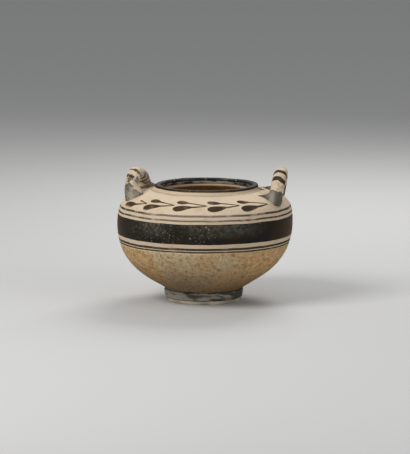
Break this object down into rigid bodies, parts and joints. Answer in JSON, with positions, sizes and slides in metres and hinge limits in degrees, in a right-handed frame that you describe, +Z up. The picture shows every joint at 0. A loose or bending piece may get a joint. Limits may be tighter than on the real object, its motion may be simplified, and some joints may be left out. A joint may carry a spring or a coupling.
{
  "type": "lebes gamikos",
  "caption": "Small round painted clay vessel with a ring foot, wide shoulder, low open rim and upright loop handles, banded in black with a leaf branch on the shoulder.",
  "frame": {"origin": "middle of the vessel's box at the height of the foot's resting ring", "axes": "+Z up along the vessel's axis, handles at +X and -X"},
  "size_m": [0.1262, 0.1262, 0.0972],
  "materials": {
    "painted_clay": "matt buff clay with worn black slip"
  },
  "bodies": {
    "root": {"vessel": "painted_clay"}
  },
  "joints": []
}
